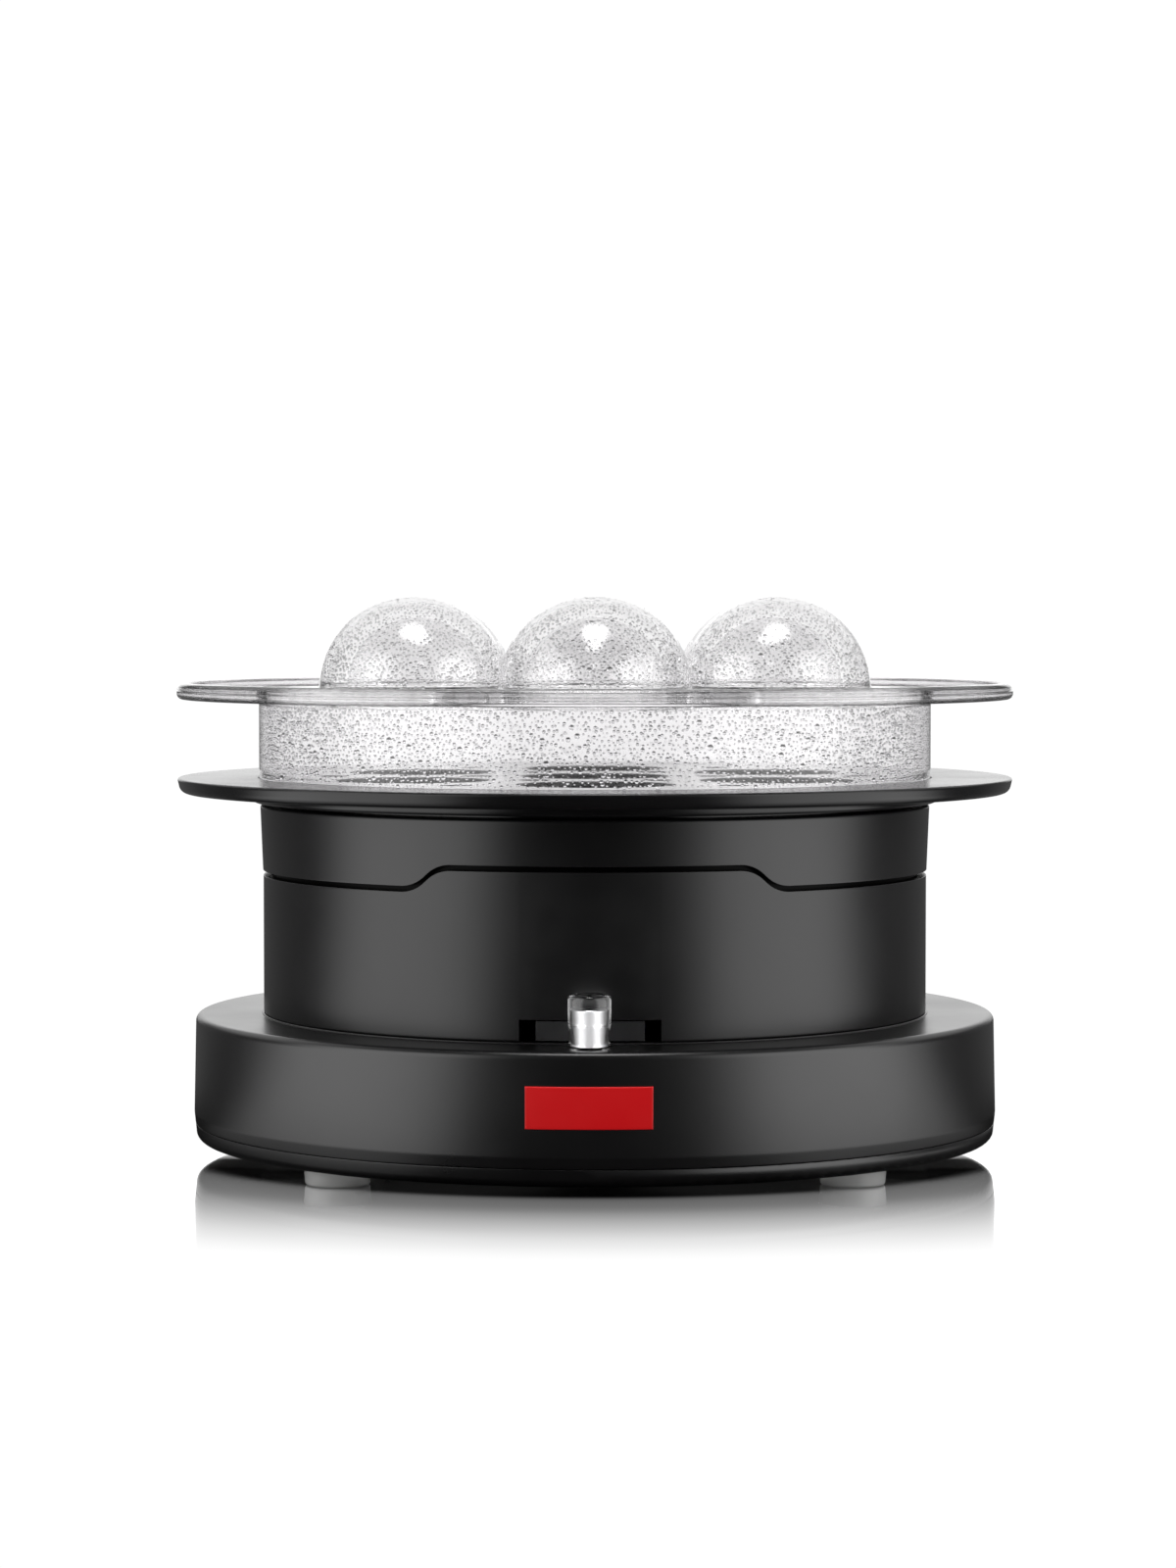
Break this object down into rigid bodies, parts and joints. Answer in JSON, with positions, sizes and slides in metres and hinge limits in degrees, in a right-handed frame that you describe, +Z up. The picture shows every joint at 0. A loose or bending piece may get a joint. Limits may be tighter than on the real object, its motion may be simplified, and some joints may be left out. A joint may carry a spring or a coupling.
{
  "type": "egg cooker",
  "caption": "Round electric egg cooker: clear domed lid and wide-rimmed black egg tray on a drum housing, with a broad base, a sliding clear switch knob and small feet.",
  "frame": {"origin": "centre of the feet circle, on the plane the feet stand on", "axes": "+Z up, -Y towards the front with the switch and the badge, +X to the right seen from the front"},
  "size_m": [0.245, 0.245, 0.1643],
  "materials": {
    "clear_lid": "clear, polished",
    "black_plastic": "fine satin grain",
    "tray_plastic": "fine satin grain",
    "clear_knob": "clear, polished",
    "carriage_plastic": "translucent grey",
    "red_badge": "smooth satin red",
    "foot_rubber": "translucent, soft",
    "steel_sheet": "drawn, fine brushed",
    "plated_steel": "zinc plated",
    "spring_steel": "bright strip",
    "cast_aluminium": "as pressed",
    "element_sheath": "heat tinted",
    "ceramic_bead": "unglazed",
    "brass_metal": "plain",
    "silicone": "translucent grey silicone",
    "thermostat_plastic": "moulded phenolic",
    "switch_plastic": "moulded",
    "terminal_plastic": "natural nylon",
    "lamp_glass": "clear, orange inside",
    "wire_brown": "insulation",
    "wire_blue": "insulation",
    "wire_green": "insulation",
    "wire_sleeved": "woven glass sleeving"
  },
  "bodies": {
    "base": {"upper_housing": "black_plastic", "lower_housing": "black_plastic", "tie_screws": "plated_steel", "boiling_pan": "steel_sheet", "pan_seal": "silicone", "heater_plate": "cast_aluminium", "heating_element": "element_sheath", "element_terminals": "ceramic_bead", "heat_shield": "steel_sheet", "pan_studs": "plated_steel", "stud_nuts": "plated_steel", "thermostat": "thermostat_plastic", "thermostat_blades": "brass_metal", "thermal_fuse": "cast_aluminium", "fuse_clip": "spring_steel", "base_shell": "black_plastic", "bottom_plate": "black_plastic", "base_screws": "plated_steel", "body_screws": "plated_steel", "cord_gland": "black_plastic", "badge": "red_badge", "switch_body": "switch_plastic", "switch_blades": "brass_metal", "detent_spring": "spring_steel", "switch_bracket": "plated_steel", "bracket_screws": "plated_steel", "lamp_holder": "switch_plastic", "indicator_lamp": "lamp_glass", "terminal_block": "terminal_plastic", "terminal_screws": "plated_steel", "foot_front_right": "foot_rubber", "foot_rear_right": "foot_rubber", "foot_rear_left": "foot_rubber", "foot_front_left": "foot_rubber", "lead_live": "wire_brown", "lead_switched": "wire_brown", "lead_thermostat": "wire_sleeved", "lead_neutral": "wire_blue", "lead_earth": "wire_green"},
    "tray": {"egg_tray": "tray_plastic"},
    "lid": {"lid": "clear_lid"},
    "switch": {"switch_knob": "clear_knob", "switch_carriage": "carriage_plastic"},
    "switch_slider": {"switch_slider": "switch_plastic"}
  },
  "joints": [
    {"name": "tray_lift", "type": "slide", "parent": "base", "child": "tray", "axis": [0, 0, 1], "range_m": [0, 0.06]},
    {"name": "lid_lift", "type": "slide", "parent": "tray", "child": "lid", "axis": [0, 0, 1], "range_m": [0, 0.08]},
    {"name": "switch_turn", "type": "hinge", "parent": "base", "child": "switch", "pos_m": [0, 0, 0.0445], "axis": [0, 0, 1], "range_deg": [-2.6, 2.6]},
    {"name": "slider_slide", "type": "slide", "parent": "base", "child": "switch_slider", "axis": [1, 0, 0], "range_m": [-0.004, 0.004]}
  ],
  "couplings": [
    {"joint": "slider_slide", "follows": "switch_turn", "m_per_rad": 0.087}
  ]
}
